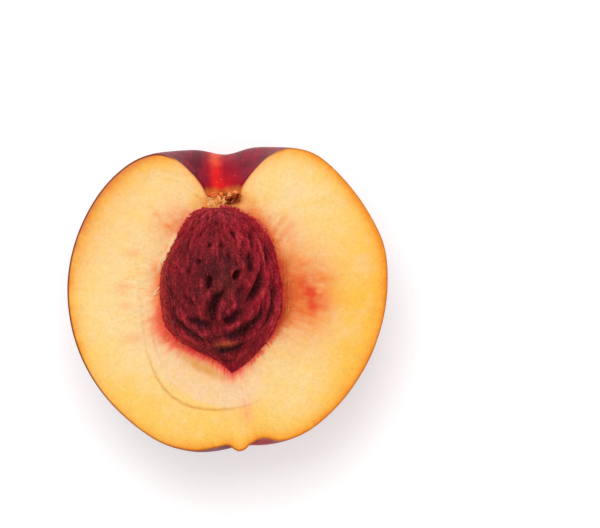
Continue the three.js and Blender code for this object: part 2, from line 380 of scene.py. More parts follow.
def mesh_piece(name, points, faces, tints, materials, slots):
    """A mesh object with a colour at each point, and its points at one place welded."""
    points = placed(points)
    _, first, back = np.unique(np.round(points / WELD), axis=0, return_index=True,
                               return_inverse=True)
    points, tints, faces = points[first], tints[first], back.reshape(-1)[faces]
    mesh = bpy.data.meshes.new(name)
    polygons = []
    kept = []
    for face, slot in zip(faces.tolist(), slots):
        corners = list(dict.fromkeys(face))
        if len(corners) > 2:
            polygons.append(corners)
            kept.append(slot)
    mesh.from_pydata(points.tolist(), [], polygons)
    mesh.polygons.foreach_set("material_index", kept)
    mesh.polygons.foreach_set("use_smooth", [True] * len(polygons))
    colours = mesh.color_attributes.new("tint", "FLOAT_COLOR", "POINT")
    opaque = np.concatenate([np.clip(tints, 0, 1), np.ones((len(tints), 1))], axis=1)
    colours.data.foreach_set("color", opaque.ravel())
    for material in materials:
        mesh.materials.append(material)
    mesh.update()
    piece = bpy.data.objects.new(name, mesh)
    bpy.context.scene.collection.objects.link(piece)
    return piece


# The cut face: its lines and patches, in the fruit's frame.
STEP_ARC = [
    [-19.0, 1.0], [-18.7, -5.0], [-18.4, -10.0], [-17.6, -14.2], [-15.9, -18.6],
    [-13.2, -22.0], [-10.0, -24.0], [-6.2, -25.0], [-1.5, -25.3], [4.0, -24.4], [9.0, -21.6],
]
INNER_ARC = [[-16.4, -4.0], [-16.6, -8.0], [-16.2, -11.5], [-14.6, -15.5]]
OLIVE_BAND = [[-12.2, -11.8], [-10.0, -13.9], [-7.4, -15.7], [-4.6, -17.3], [-1.6, -18.7]]
LEFT_LIP = [[-9.8, 13.0], [-11.3, 10.8], [-12.7, 8.6], [-13.9, 6.6], [-14.8, 4.6]]
LEFT_HAIRS = [
    [[-14.2, 1.9], [-15.0, 1.1], [-15.6, 0.4], [-16.3, -0.3]],
    [[-14.3, 0.7], [-15.0, 0.4], [-15.6, 0.2], [-16.0, -0.5]],
    [[-13.4, 7.6], [-14.3, 6.4], [-14.6, 5.4], [-15.1, 4.3]],
]
LOBE_RIDGE = [[-17.4, 25.4], [-13.1, 25.7], [-10.2, 24.8], [-7.5, 23.1], [-5.6, 20.6]]
SLASH = [[-14.4, 17.0], [-13.2, 15.8], [-12.0, 14.4]]
CREASE = [[-5.6, 20.6], [-4.4, 19.6], [-3.2, 19.4]]
PINK_DABS = [((-22, 2), 1.3), ((-22, -2), 1.0), ((-20, 9), 1.1), ((-21, -9), 1.4)]
LOWER_TURN = math.radians(-128)  # the way from the core to the middle of the red fringe
ARC_WIDTH = 0.24
ARC_DEPTH = 0.03
ARC_STEP = 0.05  # the flesh inside the arc lies this much lower
HOLLOW_DEPTH = 1.0
LIP_HEIGHT = 0.25


class Paint:
    """A colour at each point of a surface, with others laid over it in turn."""

    def __init__(self, base, shape):
        self.colour = np.broadcast_to(base, (*shape, 3)).copy()

    def lay(self, other, share):
        self.colour = tinted(self.colour, other, share)

    def shade(self, factor):
        self.colour = self.colour * factor[..., None]


def face_masks(x, y, edge, pit):
    """Noises and soft masks that the colours and the height of the cut face share."""
    turn = np.arctan2(y, x)
    place = np.stack([x, y, np.zeros(x.shape)], axis=-1)
    ray = np.stack([np.cos(turn) * 24, np.sin(turn) * 24, np.hypot(x, y) * 0.16], axis=-1)
    at = SimpleNamespace(x=x, y=y, edge=edge, pit=pit, place=place)
    at.streak = rough(ray, 11)
    at.fine_streak = rough(ray * (2.6, 2.6, 1.4), 12)
    at.cloud = rough(place / 9, 13)
    at.blot = rough(place / 1.6, 14)
    speck = rough(place * 1.1, 19)
    at.mix = 0.45 * at.streak + 0.5 * at.cloud + 0.3 * at.fine_streak + 0.7 * at.blot
    at.mix = at.mix + 0.35 * speck
    at.hatch = 0.4 * at.streak + 0.4 * at.fine_streak + 0.4 * at.cloud + 0.25 * at.blot
    at.mottle = 0.5 * at.hatch + 0.6 * at.blot + 0.5 * speck
    at.radial = 0.7 * at.fine_streak * rise(8, 1, pit)
    at.cavity_side = rise(13, 8, np.abs(x)) * rise(17, 21, y)
    at.inside = rise(19.6, 18.2, np.hypot(x * 1.02, (y + 5.8) * 0.99)) * rise(2, -8, y)

    arc, along_arc = line_distance(x, y, STEP_ARC)
    inner_arc, along_inner = line_distance(x, y, INNER_ARC)
    arc_strength = (0.25 + 0.75 * rise(0.15, 0.5, along_arc)) * (1 - rise(0.7, 1.0, along_arc))
    at.arc_line = arc_strength * bump(arc, ARC_WIDTH)
    at.inner_line = 0.5 * np.sin(np.pi * along_inner) * bump(inner_arc, ARC_WIDTH)

    at.lower_side = bump((turn - LOWER_TURN + math.pi) % (2 * math.pi) - math.pi, 0.78)
    at.fringe = at.lower_side * bump(pit, 1.3 + 0.4 * at.streak + 0.5 * at.fine_streak)
    at.stem_end = spot(x, y, (0.2, 18.9), (4.2, 1.5))
    at.hollow = spot(x, y, (1.9, 19.0), (2.1, 1.1), 0.1)
    return at


def base_layers(paint, at):
    """Yellow at the lower left and at the right, and cream inside the arc."""
    x, y = at.x, at.y
    lower_left = rise(14, 0, x) * rise(-14, -27, y) + 0.8 * rise(11, 1, at.edge) * rise(-6, -22, y)
    paint.lay(FLESH_YELLOW, 0.6 * np.minimum(lower_left, 1.1))
    right_side = rise(13, 27, x + 0.15 * y) * rise(21, 4, y)
    right_side = right_side * (0.8 + 0.6 * rise(5, -5, y) + 0.5 * at.cloud)
    paint.lay(FLESH_YELLOW, 0.85 * right_side)
    cream = at.inside * rise(9, 2, x) * (0.5 + 0.5 * rise(-17, -11, x))
    cream = cream + 0.4 * bump(at.pit, 6) * rise(6, -4, x)
    paint.lay(FLESH_CREAM, cream)


def rim_layers(paint, at):
    """Orange and yellow along the rim, tan at the upper left and pink beside the cavity."""
    x, y, edge = at.x, at.y, at.edge
    warm_rim = 0.75 + 0.45 * rise(5, 30, x) * rise(24, 4, y) + 0.35 * rise(-18, -32, y)
    warm_rim = warm_rim + 0.55 * rise(6, 22, y) * rise(8, -14, x) + 0.3 * rise(-10, -25, x)
    warm_rim = warm_rim + 0.6 * rise(12, 22, x) * rise(2, 12, y)
    warm_rim = warm_rim - 0.55 * rise(-8, -18, y) * rise(-8, -20, x) * rise(-34, -30, x)
    warm_rim = warm_rim * (1 - 0.75 * at.cavity_side)
    upper_left = rise(0, 14, y) * rise(-8, -22, x)
    paint.lay(BLUSH_ORANGE, 0.62 * upper_left * np.exp(-edge / 4.4))
    paint.lay(RIM_YELLOW, 1.1 * rise(8, 28, x) * rise(20, 2, y) * np.exp(-edge / 3.6))
    paint.lay(FLESH_YELLOW, warm_rim * np.exp(-edge / 2.8) * (1 + 0.4 * at.cloud))
    paint.lay(RIM_ORANGE, 1.2 * warm_rim * np.exp(-edge / 1.15) * (1 + 0.3 * at.streak))
    tan_rim = rise(-9, -17, x) * rise(0, 12, y)
    paint.lay(RIM_TAN, 0.75 * tan_rim * np.exp(-edge / 1.1) * (1 + 0.5 * at.fine_streak))
    paint.lay(BLUSH_PINK, 0.7 * at.cavity_side * np.exp(-edge / 0.7))


def fleck_layers(paint, at):
    """Yellow, creamy and pale flecks all over, and short strokes at the left."""
    patch = rough(at.place / 5, 16)
    paint.lay(FLESH_YELLOW, 0.2 * rise(-0.1, 0.9, patch) + 0.24 * rise(0, 0.8, at.blot))
    paint.lay(FLESH_CREAM, 0.35 * rise(0.1, 0.9, -patch) * rise(2, 5, at.edge))
    paint.lay(FLESH_PALE, 0.22 * rise(0, 0.8, -at.blot) * rise(1, 4, at.edge))
    strokes = rough(at.place * (0.7, 2.6, 1.0), 20, 3)
    stroked = spot(at.x, at.y, (-19.6, 2.0), (2.6, 7.5))
    paint.lay(BLUSH_PINK, 0.5 * stroked * rise(0.05, 0.7, strokes))
    paint.lay(FLESH_PALE, 0.45 * stroked * rise(0.05, 0.7, -strokes))


def blush_layers(paint, at):
    """The red blotch at the right with its halo, the pink patches and the thin arcs."""
    x, y, hatch, mottle = at.x, at.y, at.hatch, at.mottle
    halo = spot(x, y, (14.4, -2.3), (7.9, 8.7)) * (1.2 + 0.7 * hatch)
    paint.lay(BLUSH_ORANGE, 0.95 * halo)
    blotch = spot(x, y, (16.4, -1.4), (4.6, 5.0), 0.3) * (0.9 + 0.9 * mottle)
    core = spot(x, y, (17.2, -2.6), (2.3, 2.9), 0.5) * (0.85 + 0.9 * mottle)
    paint.lay(BLUSH_RED, 0.5 * blotch + 0.55 * core)
    paint.lay(BLUSH_ORANGE, 0.6 * spot(x, y, (20.6, 0.9), (2.2, 1.5)) * (1 + mottle))
    wedge = spot(x, y, (12.6, 5.6), (1.4, 1.3), 0.5) * (0.9 + 0.6 * hatch)
    paint.lay(FLESH_OLIVE, 0.8 * wedge)
    upper_right = spot(x, y, (11.6, 11.2), (4.2, 4.4)) * (0.8 + 0.9 * hatch)
    paint.lay(BLUSH_PINK, 0.75 * upper_right)
    haze = spot(x, y, (-11.4, 15.0), (4.6, 3.4), 0.8) * (0.85 + 0.8 * hatch)
    paint.lay(BLUSH_PINK, 0.62 * haze)
    slash, _ = line_distance(x, y, SLASH)
    paint.lay(BLUSH_ORANGE, 0.5 * bump(slash, 0.8) * (1 + 1.2 * at.blot))
    for centre, size in PINK_DABS:
        paint.lay(BLUSH_PINK, 0.4 * spot(x, y, centre, (size * 1.5, size * 0.8)))
    paint.lay(BLUSH_PINK, 0.4 * spot(x, y, (2.0, -26.5), (2.2, 2.8)) * (1 + at.streak))
    paint.lay(FLESH_LINE, 0.8 * at.arc_line + 0.7 * at.inner_line)


def stone_side_layers(paint, at):
    """The red fringe below the stone, the brown edge at its right and the blush at its left."""
    x, y, pit, streak, mix = at.x, at.y, at.pit, at.streak, at.mix
    corner = rise(-9.0, -12.0, x) * rise(-2.5, -6, y) * rise(-13.5, -10, y)
    paint.lay(BLUSH_PINK, at.lower_side * bump(pit, 2.6 + 0.9 * streak + 0.5 * corner))
    paint.lay(FRINGE_ORANGE, 1.2 * corner * bump(pit, 2.6 + 0.9 * streak))
    paint.lay(FRINGE_PINK, 1.2 * at.lower_side * bump(pit, 1.9 + 0.7 * streak - 0.1 * corner))
    paint.lay(FRINGE_RED, 1.25 * at.fringe * (1.0 + 1.1 * at.fine_streak))
    right_edge = rise(1, 8, x) * rise(-13, -7, y)
    paint.lay(BLUSH_ORANGE, 0.9 * right_edge * bump(pit, 3.0 + 1.3 * mix))
    right_edge = right_edge * (0.2 + 0.8 * rise(9, 4, y))
    brown_width = 2.2 + 0.9 * mix + 0.9 * bump(y + 2.5, 4.0)
    paint.lay(STONE_EDGE_BROWN, 1.15 * right_edge * bump(pit, brown_width))
    left_edge = rise(-5, -11, x) * rise(-7, -1, y) * bump(pit, 1.6 + 0.9 * mix)
    paint.lay(BLUSH_ORANGE, 0.65 * left_edge)
    left_patch = spot(x, y, (-14.6, 4.6), (1.7, 2.2)) * (1 + 0.4 * at.mottle)
    paint.lay(BLUSH_ORANGE, 0.7 * left_patch)
    upper_edge = rise(8, 13, y) * rise(18.5, 17, y) * bump(pit, 1.6 + 0.9 * mix)
    paint.lay(BLUSH_RED, 0.35 * upper_edge)
    paint.lay(FRINGE_RED, 0.55 * bump(pit, 0.5 + 0.35 * at.fine_streak))


def stem_layers(paint, at):
    """The torn hollow at the stem end, the crease and ridge beside it, and the olive band."""
    x, y, blot = at.x, at.y, at.blot
    paint.lay(FIBRE_GOLD, 0.9 * at.stem_end * (1 + 0.8 * blot))
    paint.lay(FIBRE_TAN, spot(x, y, (-3.0, 18.6), (2.6, 1.2)) * (1 + blot))
    paint.lay(FIBRE_BROWN, 1.5 * at.hollow)
    paint.lay(HOLE_BROWN, 1.2 * spot(x, y, (2.0, 19.0), (1.5, 0.8), 0.1))
    crease, _ = line_distance(x, y, CREASE)
    paint.lay(FLESH_OLIVE, 0.7 * bump(crease, 0.4))
    ridge, along_ridge = line_distance(x, y, LOBE_RIDGE)
    ridge_strength = np.sin(np.pi * along_ridge) * (1 + 0.6 * blot)
    paint.lay(FLESH_OLIVE, 0.3 * ridge_strength * bump(ridge, 0.75))
    paint.lay(FLESH_PALE, 0.42 * ridge_strength * bump(ridge, 0.4))
    olive, along_olive = line_distance(x, y, OLIVE_BAND)
    olive = np.sin(np.pi * along_olive) ** 0.7 * bump(olive, 1.05 + 0.35 * at.streak + 0.3 * blot)
    olive_strength = 0.62 + 0.3 * rise(0.3, 0.7, along_olive) + 0.7 * at.fine_streak
    paint.lay(FLESH_OLIVE, olive_strength * olive)


def flesh_height(at, lip):
    """Height of the cut face, with a pale lip that stands up beside the stone."""
    fine_streak, edge, pit = at.fine_streak, at.edge, at.pit
    height = 0.18 * at.cloud * rise(0, 3, edge) * rise(0, 3, pit)
    height = height + (0.05 * fine_streak + 0.06 * at.radial + 0.06 * at.blot) * rise(0, 1, edge)
    height = height - ARC_DEPTH * at.arc_line - 0.5 * ARC_DEPTH * at.inner_line
    height = height - ARC_STEP * at.inside * rise(0, 0.6, pit)
    height = height + at.fringe * 0.3 * fine_streak + 0.25 * bump(pit, 0.7) * (1 + fine_streak)
    torn = 0.6 * at.stem_end * rough(at.place * 1.3, 17) * rise(0, 0.3, edge)
    height = height - HOLLOW_DEPTH * at.hollow + torn
    height = height + LIP_HEIGHT * lip * (1 + 0.5 * fine_streak)
    return height - EDGE_ROUNDING * bump(edge, EDGE_ROUNDING_WIDTH)


def flesh_look(x, y, edge, pit):
    """Colour and height of the cut face, from the distances to the rim and to the stone."""
    at = face_masks(x, y, edge, pit)
    paint = Paint(FLESH, x.shape)
    for layers in (base_layers, rim_layers, fleck_layers, blush_layers, stone_side_layers,
                   stem_layers):
        layers(paint, at)
    grain = rough(at.place * 1.8, 15, 2)
    paint.shade(1 + 0.03 * at.fine_streak + 0.07 * at.radial + 0.03 * at.blot + 0.04 * grain)
    line_strength = 0.4 + 0.6 * rise(6, -14, x) * rise(-30, -4, y) + 0.25 * rise(2, -4, x)
    line_strength = line_strength * (1 - 0.8 * at.cavity_side)
    paint.lay(SKIN_EDGE, line_strength * rise(0.5, 0.12, edge))
    lip, along_lip = line_distance(x, y, LEFT_LIP)
    lip_width = (0.6 + 0.4 * noise(at.place * 1.6, 18)) * rise(1.2, 0.5, along_lip)
    lip = bump(lip, np.maximum(lip_width, 0.15)) * rise(0, 0.15, along_lip)
    paint.lay(FIBRE_PALE, 0.95 * lip)
    return paint.colour, flesh_height(at, lip)


def skin_look(points):
    """Colour of the skin at points of the fruit's frame."""
    x, y, z = np.moveaxis(points, -1, 0)
    core = np.hypot(x, z)
    turn = np.arctan2(z, x)
    band = np.stack([np.cos(turn) * 5, np.sin(turn) * 5, y * 0.05], axis=-1)
    streak = rough(band, 21)
    cloud = rough(points / 11, 22)
    paint = Paint(SKIN_CRIMSON, x.shape)
    paint.lay(SKIN_BURGUNDY, 0.5 + 0.7 * cloud + 0.35 * streak)
    # Painted shade: darker burgundy towards the tip; a painted highlight of brighter red at the tip's
    # lower right.
    paint.lay(SKIN_BURGUNDY, 0.7 * rise(-22, -31, y))
    low_right_highlight = rise(-20, -33, y) * rise(-2, 3, x) * (1 + streak)
    paint.lay(SKIN_BRIGHT, 0.25 * low_right_highlight)
    paint.lay(SKIN_ORANGE, 0.25 * rise(0.45, 1.1, cloud - streak))

    cavity = rise(19, 9, core) * rise(12, 18, y)
    down = rough(np.stack([x * 1.1, y * 0.12, z * 0.3], axis=-1), 25)
    paint.lay(SKIN_CRIMSON, cavity)
    paint.lay(SKIN_BURGUNDY, cavity * rise(-1.8, -5, x) * (0.8 + 0.8 * down))
    # Painted sheen: mauve-grey over the right side of the cavity.
    paint.lay(SKIN_MAUVE_SHEEN, cavity * rise(2, 6, x + 0.5 * (y - 26)) * (0.7 + 0.9 * down))
    wander = x + 1.3 + 0.04 * (y - 24) + 0.35 * noise(points / 2.2, 24)
    beam = bump(wander, 1.1 + 0.35 * streak) * rise(19.5, 21.5, y) * rise(17, 10, core)
    paint.lay(SKIN_BRIGHT, 1.25 * beam * (1 + 0.5 * down))
    # Painted highlight: orange at the top end of the red streak.
    paint.lay(SKIN_ORANGE, 0.6 * beam * rise(25.5, 28.5, y))
    glow = bump(x - 0.8, 2.2) * rise(19.5, 21.5, y) * rise(27, 22, y) * rise(12, 7, core)
    paint.lay(SKIN_BRIGHT, 0.4 * glow * (1 + down))
    scar = rise(22.6, 20.6, y + 0.6 * down) * rise(10, 15, y) * rise(6, 4, core)
    paint.lay(FIBRE_GOLD, 0.95 * scar)
    paint.lay(FIBRE_BROWN, scar * (0.1 + 0.8 * rise(20.4, 19.6, y) + 0.8 * down))
    paint.shade(1 + 0.12 * rough(points / 1.2, 23))
    return paint.colour


def fruit():
    """The half fruit: cut face, skin and socket as one closed mesh."""
    ring = np.linspace(0, 1, RINGS + 1)
    fine = FINE_STEPS
    left_turn, right_turn = 2 * np.pi, np.pi
    sides = {}
    loops = {turn: (on_fruit(fine, turn + 0 * fine), on_socket(fine, turn + 0 * fine))
             for turn in (left_turn, right_turn)}
    rim_samples = np.concatenate([loops[left_turn][0], loops[right_turn][0]])
    mouth_samples = np.concatenate([loops[left_turn][1], loops[right_turn][1]])
    across = np.linspace(0, 1, FLESH_COLUMNS + 1)
    across = 0.55 * across + 0.45 * (1 - np.cos(np.pi * across)) / 2
    for turn in (left_turn, right_turn):
        rim = on_fruit(ring, turn + 0 * ring)
        mouth_fine = loops[turn][1]
        rim_angle = np.arctan2(np.abs(rim[:, 0]), rim[:, 1])
        mouth_angle = np.arctan2(np.abs(mouth_fine[:, 0] - STONE_X), mouth_fine[:, 1])
        mouth_along = np.interp(rim_angle, mouth_angle, fine)
        mouth_along[0], mouth_along[-1] = 0, 1
        mouth = on_socket(mouth_along, turn + 0 * ring)
        face = mouth[:, None] + (rim - mouth)[:, None] * across[None, :, None]
        face[..., 2] = 0
        edge = nearest_distance(face, rim_samples * (1, 1, 0))
        pit = nearest_distance(face, mouth_samples * (1, 1, 0))
        edge[:, -1] = 0
        pit[:, 0] = 0
        tint, face[..., 2] = flesh_look(face[..., 0], face[..., 1], edge, pit)
        sides[turn] = (face, tint, mouth_along)

    # The skin goes from the right rim round the back to the left one, the socket likewise.
    turns = np.linspace(right_turn, left_turn, SKIN_COLUMNS + 1)
    skin = on_fruit(*np.meshgrid(ring, turns, indexing="ij"))
    skin += 0.12 * rough(skin / 8, 31)[..., None] * skin / 34 * rise(0, 3, -skin[..., 2:])
    socket_turns = np.linspace(right_turn, left_turn, SOCKET_COLUMNS + 1)
    left_share = ((1 + np.cos(socket_turns)) / 2)[None]
    along = (sides[left_turn][2][:, None] * left_share
             + sides[right_turn][2][:, None] * (1 - left_share))
    socket = on_socket(along, np.broadcast_to(socket_turns, along.shape))
    for grid, column in ((skin, -1), (socket, 0)):
        grid[:, 0] = sides[right_turn][0][:, column]
        grid[:, -1] = sides[left_turn][0][:, column]
    points, tints, faces = joined_grids([
        (sides[left_turn][0], sides[left_turn][1], False),
        (sides[right_turn][0], sides[right_turn][1], True),
        (skin, skin_look(skin), True),
        (socket, np.broadcast_to(BLUSH_RED, socket.shape), False),
    ])
    slots = []
    for group, slot in zip(faces, (0, 0, 1, 0)):
        slots += [slot] * len(group)
    return mesh_piece("nectarine_half", points, np.concatenate(faces), tints,
                      [flesh_material(), skin_material()], slots)


# The stone.
def stone_cuts(points):
    """Depth of the furrows and pits at points of the stone, and of the lips beside them."""
    sway = [0.55 * noise(points / 3.0, seed) + 0.16 * noise(points * 1.3, seed + 1)
            for seed in (51, 57)]
    x, y = points[..., 0] + sway[0], points[..., 1] + sway[1]
    deepest = np.zeros(x.shape)
    lips = np.zeros(x.shape)
    for width, depth, line in FURROWS + PITS:
        away, along = line_distance(x, y, line)
        taper = rise(0, 0.4, along) * rise(1, 0.6, along)
        wide = width * (0.5 + 0.55 * taper)
        deepest = np.maximum(deepest, 0.75 * depth * taper * np.exp(-(away / wide) ** 1.2))
        lips = np.maximum(lips, 0.3 * depth * taper * bump(away - 2.1 * width, 0.9 * width))
    return deepest, lips


def stone_relief(along, turn, seed):
    """Points of the furrowed stone, with how deep they are cut and how far they stand up."""
    points = on_stone(along, turn)
    deep, lips = stone_cuts(points)
    side = rise(0.1, 0.7, -np.cos(turn)) + 0.5 * rise(-0.55, -0.9, -np.cos(turn))
    low = rise(-2, -9, points[..., 1])
    folds = rough(np.stack([turn * 7, along * 5, 0 * turn], axis=-1), seed, 3)
    folds = np.minimum(2.4 * np.abs(folds) ** 0.7, 1.4) - 1
    folded = np.clip(side + 0.8 * low, 0, 1)
    swell = rough(points * (0.3, 0.2, 0.3), seed + 3, 2)
    crumb = rough(points * (1.4, 0.9, 1.4), seed + 7)
    fuzz = rough(points * 3.2, seed + 11, 2)
    small_pits = rise(0.45, 0.8, noise(points * (1.3, 0.75, 1.3), seed + 15))
    small_pits = small_pits * rise(0.4, 0.1, deep) * rise(-4, 2, points[..., 1])
    stands = 0.9 * lips + 0.35 * swell + 0.17 * crumb + 0.09 * fuzz
    stands = stands + 0.42 * folds * folded
    fade = np.abs(np.sin(np.pi * along)) ** 0.5
    cut = deep + 0.3 * small_pits
    return pushed_out(points, (stands - cut - 0.1) * fade), cut, stands


def stone_grid(turns, seed):
    """Points and colours of one face of the stone, between turns about its axis, as a grid
    with its faces flipped."""
    ring = np.linspace(0, 1, STONE_RINGS + 1)
    along, turn = np.meshgrid(ring, turns, indexing="ij")
    points, cut, stands = stone_relief(along, turn, seed)
    x, y, z = np.moveaxis(points, -1, 0)
    paint = Paint(STONE_MID, x.shape)
    face = spot(x, y, (-0.8, 4.2), (5.2, 6.0)) * rise(2, 7, np.abs(z))
    shade = spot(x, y, (-6.4, -2.6), (4.2, 4.6)) * rise(2, 5, np.abs(z))
    paint.lay(STONE_BROWN, 0.15 + 0.6 * face)
    fine = 0.5 * rough(points * 2.8, seed + 21, 3)
    fine = fine + 0.7 * rough(np.stack([turn * 24, along * 15, 0 * turn], axis=-1), seed + 29, 3)
    large = rough(points * 0.3, seed + 25, 3)
    top_red = rise(10, 16, y) + rise(3, 0.5, np.abs(z))
    paint.lay(STONE_PLUM, 0.1 + 1.1 * large + 0.3 * face + 0.4 * shade)
    # Lighter red on the ridges and the right face is partly the stone's own tone and partly painted
    # highlight; the pink on raised parts, most on the right face, is painted highlight.
    right_face = rise(2, 8, x) * rise(-14, -8, y)
    crest = 0.08 + 1.1 * stands + 0.6 * fine + 0.2 * right_face - 0.3 * face - 0.15 * shade
    crest = crest + 0.32 * spot(x, y, (-2.6, 6.8), (3.4, 3.2)) + 0.2 * rise(12, 16, y)
    paint.lay(STONE_HIGH, crest)
    raised_share = rise(0.2, 0.6, stands + 0.3 * fine)
    paint.lay(STONE_FUZZ_AND_GLINT, (0.12 + 0.26 * right_face) * raised_share)
    # Painted shade: darker where the surface dips, with some darker grain.
    paint.lay(STONE_DEEP, -1.1 * np.minimum(stands, 0) - 0.35 * np.minimum(fine, 0))
    # Lighter red towards the outline and the top is the stone's own colour; lighter towards the right
    # side is painted light.
    outer = rise(3.2, 0.2, np.abs(z)) + 0.5 * rise(8, 14, y) + 0.4 * rise(4, 9, x)
    paint.lay(STONE_HIGH, 0.55 * outer * (1 + fine))
    # Pale pink specks on the raised parts and at the top: partly fuzz, partly painted glints.
    paint.lay(STONE_FUZZ_AND_GLINT, 0.35 * rise(0.2, 0.8, fine + 0.5 * stands) * (0.5 + outer))
    paint.lay(SKIN_CRIMSON, 0.3 * top_red * rise(-0.3, 0.5, fine) + 0.22 * rise(1, 5, x))
    paint.lay(STONE_FUZZ_AND_GLINT, 0.3 * rise(12.5, 16.5, y) * rise(-0.3, 0.5, fine))
    left_rim = rise(5.0, 1.0, np.abs(z)) * rise(-3, -8, x) * rise(-13, -9, y) * rise(13, 9, y)
    paint.lay(STONE_RIM, 0.55 * left_rim * (1 + 0.9 * fine))
    # Darker in the furrows and pits, partly their own colour and partly painted shade.
    paint.lay(STONE_DEEP, 0.92 * rise(0.02, 0.8, cut))
    paint.lay(BLUSH_ORANGE, 0.3 * spot(x, y, (-1.4, -11.2), (1.8, 0.5)) * (1 + fine))
    return points, paint.colour, True


def stone():
    """The stone, furrowed on both faces."""
    upper = stone_grid(np.linspace(0, np.pi, STONE_FACE_COLUMNS + 1), STONE_FACE_SEED)
    under = stone_grid(np.linspace(np.pi, 2 * np.pi, STONE_UNDER_COLUMNS + 1), STONE_UNDER_SEED)
    under[0][:, 0] = upper[0][:, -1]
    under[0][:, -1] = upper[0][:, 0]
    points, tints, faces = joined_grids([upper, under])
    faces = np.concatenate(faces)
    return mesh_piece("furrowed_stone", points, faces, tints, [stone_material()],
                      [0] * len(faces))


# Strands of torn flesh and fibres of the stone.
STRAND_SIDES = 5
STRAND_POINTS = 7
ALONG_STRAND = np.linspace(0, 1, STRAND_POINTS)[None]
LOWER_LEFT_STRANDS = 300
LOWER_RIGHT_STRANDS = 150
RIGHT_THREADS = 34
LEFT_STRANDS = 90
UPPER_RIGHT_THREADS = 80
LEFT_TUFTS = 260
RIGHT_TUFTS = 240
TOP_TUFTS = 110  # more on each side, close below the stone's stem end
TOP_TUFT_HEIGHT = 17.55
FUZZ_STRANDS = 3200  # before the middle of the face is thinned out


def strands(name, lines, radii, tints, material):
    """Tapered strands along the given lines, as one piece."""
    ends = np.sin(np.pi * np.linspace(0, 1, STRAND_POINTS)) ** 0.6
    ends[0] = ends[-1] = 0
    thick = np.asarray(radii)[:, None] * ends
    ahead = np.gradient(lines, axis=1)
    ahead = ahead / np.maximum(np.linalg.norm(ahead, axis=-1, keepdims=True), 1e-6)
    across = np.cross(ahead, (0.05, 0.08, 1.0))
    across = across / np.maximum(np.linalg.norm(across, axis=-1, keepdims=True), 1e-6)
    up = np.cross(across, ahead)
    angle = np.linspace(0, 2 * np.pi, STRAND_SIDES + 1)
    ring = (across[:, :, None] * np.cos(angle)[:, None] + up[:, :, None] * np.sin(angle)[:, None])
    ring[:, :, -1] = ring[:, :, 0]
    points = lines[:, :, None] + ring * thick[:, :, None, None]
    size = STRAND_POINTS * (STRAND_SIDES + 1)
    faces = grid_faces(STRAND_POINTS, STRAND_SIDES + 1)[None]
    faces = (faces + size * np.arange(len(lines))[:, None, None]).reshape(-1, 4)
    colours = np.repeat(tints.reshape(-1, 3), STRAND_SIDES + 1, axis=0)
    return mesh_piece(name, points.reshape(-1, 3), faces, colours, [material], [0] * len(faces))


def drawn(low, high, count):
    """Numbers drawn between two others."""
    return np.array([random.uniform(low, high) for _ in range(count)])


def picked(colours, count):
    """One of the colours for each strand, a little lighter or darker, at all its points."""
    chosen = np.array([random.choice(colours) for _ in range(count)])
    chosen = chosen * drawn(0.8, 1.12, count)[:, None]
    return np.repeat(chosen[:, None], STRAND_POINTS, axis=1)


def raised(flat, heights):
    """Flat lines with a height at each point."""
    heights = np.broadcast_to(heights, flat.shape[:-1])
    return np.concatenate([flat, heights[..., None]], axis=-1)


def mouth_points(heights, turn):
    """Points of the stone's outline at the given heights, and which way is out from there."""
    outline = on_stone(FINE_STEPS, turn + 0 * FINE_STEPS)
    along = np.interp(-heights, -outline[:, 1], FINE_STEPS)
    point = on_stone(along, turn + 0 * along)
    ahead = on_stone(along + 0.004, turn + 0 * along) - on_stone(along - 0.004, turn + 0 * along)
    out = np.stack([ahead[:, 1], -ahead[:, 0]], axis=-1) * (1 if turn == 0 else -1)
    return point[:, :2], out / np.linalg.norm(out, axis=-1, keepdims=True)


def fringe_lines(heights, turn, lengths, lift, lean, curl):
    """Lines that run from the stone's outline out over the cut face."""
    count = len(heights)
    start, out = mouth_points(heights, turn)
    side = np.stack([-out[:, 1], out[:, 0]], axis=-1)
    share = ALONG_STRAND[..., None]
    lean = drawn(-lean, lean, count)[:, None, None]
    curl = drawn(-curl, curl, count)[:, None, None]
    length = lengths[:, None, None]
    flat = start[:, None] - 0.25 * out[:, None]
    flat = flat + length * (out[:, None] * share + side[:, None] * (lean * share + curl * share ** 2))
    high = (drawn(0.3, 1, count) * lift)[:, None] * np.sin(np.pi * ALONG_STRAND) + 0.12
    return raised(flat, high - 0.25 * ALONG_STRAND)


def lower_fringe(name, heights, turn, lengths, thickest, material):
    """The fringe on one side below the stone, red at the stone and pink at its ends."""
    count = len(heights)
    fade = ALONG_STRAND[..., None]
    lines = fringe_lines(heights, turn, lengths, 0.12, 0.4, 0.4)
    tints = picked([FRINGE_RED, FRINGE_RED, FRINGE_ORANGE], count)
    tints = tints * (1 - fade) + (0.5 * FRINGE_PINK + 0.5 * BLUSH_PINK) * fade
    return strands(name, lines, drawn(0.05, thickest, count), tints, material)


def right_threads(material):
    """Threads that lie along the right side of the stone."""
    count = RIGHT_THREADS
    share = ALONG_STRAND
    length = drawn(0.8, 3.0, count)[:, None]
    heights = drawn(-7.5, 11, count)[:, None]
    point, out = mouth_points((heights - length * share).ravel(), math.pi)
    away = drawn(0.1, 1.6, count)[:, None] + drawn(-0.7, 0.9, count)[:, None] * share
    away = away + drawn(0.1, 0.35, count)[:, None] * np.sin(drawn(3, 6, count)[:, None] * share)
    flat = (point + out * away.reshape(-1, 1)).reshape(count, STRAND_POINTS, 2)
    lines = raised(flat, 0.1 + 0.12 * np.sin(np.pi * share))
    tints = picked([FIBRE_TAN, BLUSH_PINK, BLUSH_ORANGE], count)
    return strands("right_threads", lines, drawn(0.03, 0.055, count), tints, material)


